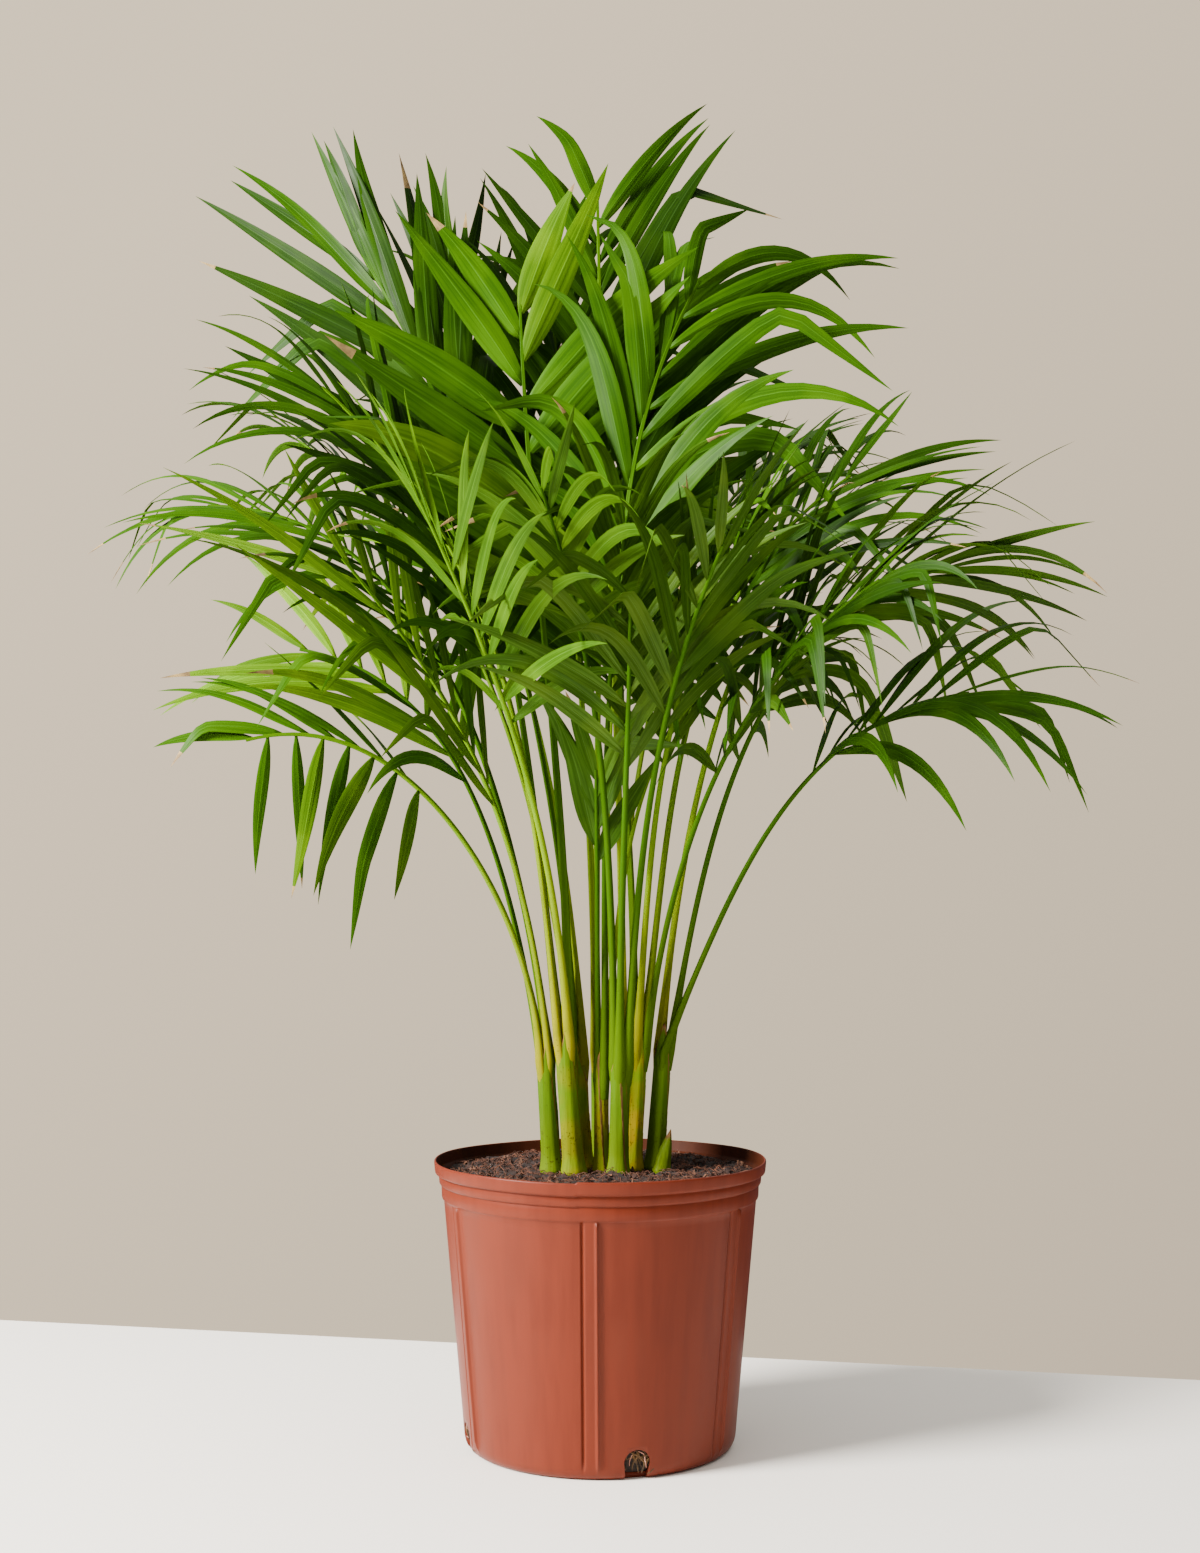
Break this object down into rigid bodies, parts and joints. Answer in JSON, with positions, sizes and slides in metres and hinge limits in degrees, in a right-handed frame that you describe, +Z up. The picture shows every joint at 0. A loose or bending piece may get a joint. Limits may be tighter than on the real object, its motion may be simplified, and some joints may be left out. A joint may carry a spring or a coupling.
{
  "type": "potted areca palm",
  "caption": "Clump-forming feather palm with arching green fronds on yellow-green stalks, planted in a plain terracotta-coloured nursery pot.",
  "frame": {"origin": "middle of the pot's flat underside, on the floor", "axes": "+Z up, the shown front looks to -Y, +X to the right of the shown front"},
  "size_m": [0.7995, 0.6874, 1.0845],
  "materials": {
    "pot": "satin",
    "mix": "matt",
    "cane": "satin",
    "stalk": "satin",
    "frond": "satin"
  },
  "bodies": {
    "root": {"pot": "pot", "soil": "mix", "shoot_far_left": "cane", "shoot_left": "cane", "shoot_back_left": "cane", "shoot_back": "cane", "shoot_middle": "cane", "shoot_front": "cane", "shoot_right": "cane", "shoot_far_right": "cane", "shoot_stub": "cane", "stalk_left_long": "stalk", "frond_left_long": "frond", "stalk_right_low": "stalk", "frond_right_low": "frond", "stalk_left_low": "stalk", "frond_left_low": "frond", "stalk_right_long": "stalk", "frond_right_long": "frond", "frond_crown_left": "frond", "frond_crown_centre": "frond", "frond_crown_right": "frond", "frond_crown_arch": "frond", "stalk_right_high": "stalk", "frond_right_high": "frond", "frond_left_mid": "frond", "stalk_left_high": "stalk", "frond_left_high": "frond", "stalk_right_front": "stalk", "frond_right_front": "frond", "frond_crown_back": "frond", "frond_crown_far": "frond", "stalk_right_back": "stalk", "frond_right_back": "frond", "stalk_left_back": "stalk", "frond_left_back": "frond", "stalk_back_low": "stalk", "frond_back_low": "frond", "stalk_back_right": "stalk", "frond_back_right": "frond", "stalk_back_left_low": "stalk", "frond_back_left_low": "frond", "frond_front_centre": "frond", "frond_front_left": "frond", "frond_front_right": "frond", "frond_left_front": "frond", "stalk_left_wide": "stalk", "frond_left_wide": "frond", "stalk_right_drop": "stalk", "frond_right_drop": "frond", "frond_right_inner": "frond", "frond_back_middle": "frond", "frond_middle_tall": "frond", "frond_front_small": "frond"}
  },
  "joints": []
}
